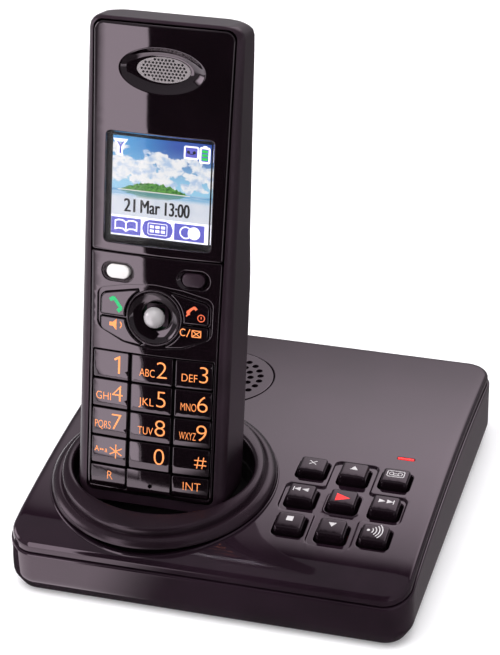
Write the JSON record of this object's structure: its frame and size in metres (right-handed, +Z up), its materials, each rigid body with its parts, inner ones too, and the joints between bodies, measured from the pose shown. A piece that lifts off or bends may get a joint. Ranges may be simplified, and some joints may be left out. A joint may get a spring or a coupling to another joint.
{
  "type": "cordless phone with answering-machine base",
  "caption": "Dark gloss cordless handset leaning back in a round cradle on a square, low answering-machine base with a block of control keys.",
  "frame": {"origin": "centre of the base's footprint on the surface it stands on", "axes": "+Z up, the base's front and its keys face -Y, +X to the right seen from the front"},
  "size_m": [0.1286, 0.1328, 0.1732],
  "materials": {
    "gloss_case": "high-gloss dark aubergine-black moulding",
    "satin_case": "satin dark moulding",
    "key_gloss": "gloss black key caps with printed orange or light grey legends",
    "matt_black": "matt black moulding",
    "grille_grey": "grey perforated insert",
    "joystick_silver": "satin silver plating",
    "lit_white": "translucent white, lit from behind",
    "red_light": "clear red light pipe",
    "screen": "colour display",
    "window": "clear window",
    "board_green": "green circuit board",
    "rubber": "black rubber",
    "contact_steel": "plated steel",
    "cell_green": "wrapped rechargeable cell"
  },
  "bodies": {
    "base": {"base_top_cover": "gloss_case", "base_bottom_case": "gloss_case", "cradle_ring": "satin_case", "cradle_pocket": "matt_black", "speaker_grille": "gloss_case", "base_speaker": "contact_steel", "base_board": "board_green", "message_light": "red_light", "line_socket": "matt_black", "power_socket": "matt_black", "foot_front": "rubber", "foot_rear": "rubber"},
    "handset": {"handset_front_case": "gloss_case", "handset_rear_case": "satin_case", "display_window": "window", "display_panel": "screen", "earpiece_grille": "grille_grey", "earpiece_speaker": "contact_steel", "handset_board": "board_green", "keypad_mat": "rubber", "microphone": "contact_steel", "battery_left": "cell_green", "battery_right": "cell_green", "handset_contact_left": "contact_steel", "handset_contact_right": "contact_steel"},
    "battery_cover": {"battery_cover": "satin_case"},
    "key_star": {"key_star": "key_gloss"},
    "key_0": {"key_0": "key_gloss"},
    "key_hash": {"key_hash": "key_gloss"},
    "key_7": {"key_7": "key_gloss"},
    "key_8": {"key_8": "key_gloss"},
    "key_9": {"key_9": "key_gloss"},
    "key_4": {"key_4": "key_gloss"},
    "key_5": {"key_5": "key_gloss"},
    "key_6": {"key_6": "key_gloss"},
    "key_1": {"key_1": "key_gloss"},
    "key_2": {"key_2": "key_gloss"},
    "key_3": {"key_3": "key_gloss"},
    "key_recall": {"key_recall": "key_gloss"},
    "key_intercom": {"key_intercom": "key_gloss"},
    "talk_key": {"talk_key": "key_gloss"},
    "speaker_key": {"speaker_key": "key_gloss"},
    "off_key": {"off_key": "key_gloss"},
    "clear_key": {"clear_key": "key_gloss"},
    "soft_key_left": {"soft_key_left": "lit_white"},
    "soft_key_right": {"soft_key_right": "satin_case"},
    "stop_key": {"stop_key": "key_gloss"},
    "down_key": {"down_key": "key_gloss"},
    "locator_key": {"locator_key": "key_gloss"},
    "rewind_key": {"rewind_key": "key_gloss"},
    "play_key": {"play_key": "key_gloss"},
    "forward_key": {"forward_key": "key_gloss"},
    "erase_key": {"erase_key": "key_gloss"},
    "up_key": {"up_key": "key_gloss"},
    "answer_key": {"answer_key": "key_gloss"},
    "charge_contact_left": {"charge_contact_left": "contact_steel"},
    "charge_contact_right": {"charge_contact_right": "contact_steel"},
    "joystick_gimbal": {"joystick_gimbal": "satin_case"},
    "joystick_stem": {"joystick_stem": "satin_case"},
    "joystick_cap": {"joystick_cap": "joystick_silver"}
  },
  "joints": [
    {"name": "handset_lift", "type": "slide", "parent": "base", "child": "handset", "axis": [0, 0.2233, 0.9748], "range_m": [0, 0.08]},
    {"name": "battery_cover_slide", "type": "slide", "parent": "handset", "child": "battery_cover", "axis": [0, -0.2233, -0.9748], "range_m": [0, 0.006]},
    {"name": "key_star_press", "type": "slide", "parent": "handset", "child": "key_star", "axis": [0, 0.9748, -0.2233], "range_m": [0, 0.0005], "stiffness_N_per_m": 1000},
    {"name": "key_0_press", "type": "slide", "parent": "handset", "child": "key_0", "axis": [0, 0.9748, -0.2233], "range_m": [0, 0.0005], "stiffness_N_per_m": 1000},
    {"name": "key_hash_press", "type": "slide", "parent": "handset", "child": "key_hash", "axis": [0, 0.9748, -0.2233], "range_m": [0, 0.0005], "stiffness_N_per_m": 1000},
    {"name": "key_7_press", "type": "slide", "parent": "handset", "child": "key_7", "axis": [0, 0.9748, -0.2233], "range_m": [0, 0.0005], "stiffness_N_per_m": 1000},
    {"name": "key_8_press", "type": "slide", "parent": "handset", "child": "key_8", "axis": [0, 0.9748, -0.2233], "range_m": [0, 0.0005], "stiffness_N_per_m": 1000},
    {"name": "key_9_press", "type": "slide", "parent": "handset", "child": "key_9", "axis": [0, 0.9748, -0.2233], "range_m": [0, 0.0005], "stiffness_N_per_m": 1000},
    {"name": "key_4_press", "type": "slide", "parent": "handset", "child": "key_4", "axis": [0, 0.9748, -0.2233], "range_m": [0, 0.0005], "stiffness_N_per_m": 1000},
    {"name": "key_5_press", "type": "slide", "parent": "handset", "child": "key_5", "axis": [0, 0.9748, -0.2233], "range_m": [0, 0.0005], "stiffness_N_per_m": 1000},
    {"name": "key_6_press", "type": "slide", "parent": "handset", "child": "key_6", "axis": [0, 0.9748, -0.2233], "range_m": [0, 0.0005], "stiffness_N_per_m": 1000},
    {"name": "key_1_press", "type": "slide", "parent": "handset", "child": "key_1", "axis": [0, 0.9748, -0.2233], "range_m": [0, 0.0005], "stiffness_N_per_m": 1000},
    {"name": "key_2_press", "type": "slide", "parent": "handset", "child": "key_2", "axis": [0, 0.9748, -0.2233], "range_m": [0, 0.0005], "stiffness_N_per_m": 1000},
    {"name": "key_3_press", "type": "slide", "parent": "handset", "child": "key_3", "axis": [0, 0.9748, -0.2233], "range_m": [0, 0.0005], "stiffness_N_per_m": 1000},
    {"name": "key_recall_press", "type": "slide", "parent": "handset", "child": "key_recall", "axis": [0, 0.9748, -0.2233], "range_m": [0, 0.0005], "stiffness_N_per_m": 1000},
    {"name": "key_intercom_press", "type": "slide", "parent": "handset", "child": "key_intercom", "axis": [0, 0.9748, -0.2233], "range_m": [0, 0.0005], "stiffness_N_per_m": 1000},
    {"name": "talk_key_press", "type": "slide", "parent": "handset", "child": "talk_key", "axis": [0, 0.9748, -0.2233], "range_m": [0, 0.0005], "stiffness_N_per_m": 1000},
    {"name": "speaker_key_press", "type": "slide", "parent": "handset", "child": "speaker_key", "axis": [0, 0.9748, -0.2233], "range_m": [0, 0.0005], "stiffness_N_per_m": 1000},
    {"name": "off_key_press", "type": "slide", "parent": "handset", "child": "off_key", "axis": [0, 0.9748, -0.2233], "range_m": [0, 0.0005], "stiffness_N_per_m": 1000},
    {"name": "clear_key_press", "type": "slide", "parent": "handset", "child": "clear_key", "axis": [0, 0.9748, -0.2233], "range_m": [0, 0.0005], "stiffness_N_per_m": 1000},
    {"name": "soft_key_left_press", "type": "slide", "parent": "handset", "child": "soft_key_left", "axis": [0, 0.9748, -0.2233], "range_m": [0, 0.0005], "stiffness_N_per_m": 1000},
    {"name": "soft_key_right_press", "type": "slide", "parent": "handset", "child": "soft_key_right", "axis": [0, 0.9748, -0.2233], "range_m": [0, 0.0005], "stiffness_N_per_m": 1000},
    {"name": "stop_key_press", "type": "slide", "parent": "base", "child": "stop_key", "axis": [0, 0.1184, -0.993], "range_m": [0, 0.0008], "stiffness_N_per_m": 1000},
    {"name": "down_key_press", "type": "slide", "parent": "base", "child": "down_key", "axis": [0, 0.1184, -0.993], "range_m": [0, 0.0008], "stiffness_N_per_m": 1000},
    {"name": "locator_key_press", "type": "slide", "parent": "base", "child": "locator_key", "axis": [0, 0.1184, -0.993], "range_m": [0, 0.0008], "stiffness_N_per_m": 1000},
    {"name": "rewind_key_press", "type": "slide", "parent": "base", "child": "rewind_key", "axis": [0, 0.0906, -0.9959], "range_m": [0, 0.0008], "stiffness_N_per_m": 1000},
    {"name": "play_key_press", "type": "slide", "parent": "base", "child": "play_key", "axis": [0, 0.0906, -0.9959], "range_m": [0, 0.0008], "stiffness_N_per_m": 1000},
    {"name": "forward_key_press", "type": "slide", "parent": "base", "child": "forward_key", "axis": [0, 0.0906, -0.9959], "range_m": [0, 0.0008], "stiffness_N_per_m": 1000},
    {"name": "erase_key_press", "type": "slide", "parent": "base", "child": "erase_key", "axis": [0, 0.0625, -0.998], "range_m": [0, 0.0008], "stiffness_N_per_m": 1000},
    {"name": "up_key_press", "type": "slide", "parent": "base", "child": "up_key", "axis": [0, 0.0625, -0.998], "range_m": [0, 0.0008], "stiffness_N_per_m": 1000},
    {"name": "answer_key_press", "type": "slide", "parent": "base", "child": "answer_key", "axis": [0, 0.0625, -0.998], "range_m": [0, 0.0008], "stiffness_N_per_m": 1000},
    {"name": "charge_contact_left_spring", "type": "slide", "parent": "base", "child": "charge_contact_left", "axis": [0, -0.2233, -0.9748], "range_m": [0, 0.0006], "stiffness_N_per_m": 500},
    {"name": "charge_contact_right_spring", "type": "slide", "parent": "base", "child": "charge_contact_right", "axis": [0, -0.2233, -0.9748], "range_m": [0, 0.0006], "stiffness_N_per_m": 500},
    {"name": "joystick_tilt_up_down", "type": "hinge", "parent": "handset", "child": "joystick_gimbal", "pos_m": [-0.0235, -0.02785, 0.08433], "axis": [1, 0, 0], "range_deg": [-8, 8], "stiffness_Nm_per_rad": 0.05},
    {"name": "joystick_tilt_left_right", "type": "hinge", "parent": "joystick_gimbal", "child": "joystick_stem", "pos_m": [-0.0235, -0.02785, 0.08433], "axis": [0, 0.2233, 0.9748], "range_deg": [-8, 8], "stiffness_Nm_per_rad": 0.05},
    {"name": "joystick_press", "type": "slide", "parent": "joystick_stem", "child": "joystick_cap", "axis": [0, 0.9748, -0.2233], "range_m": [0, 0.0003], "stiffness_N_per_m": 1000}
  ]
}
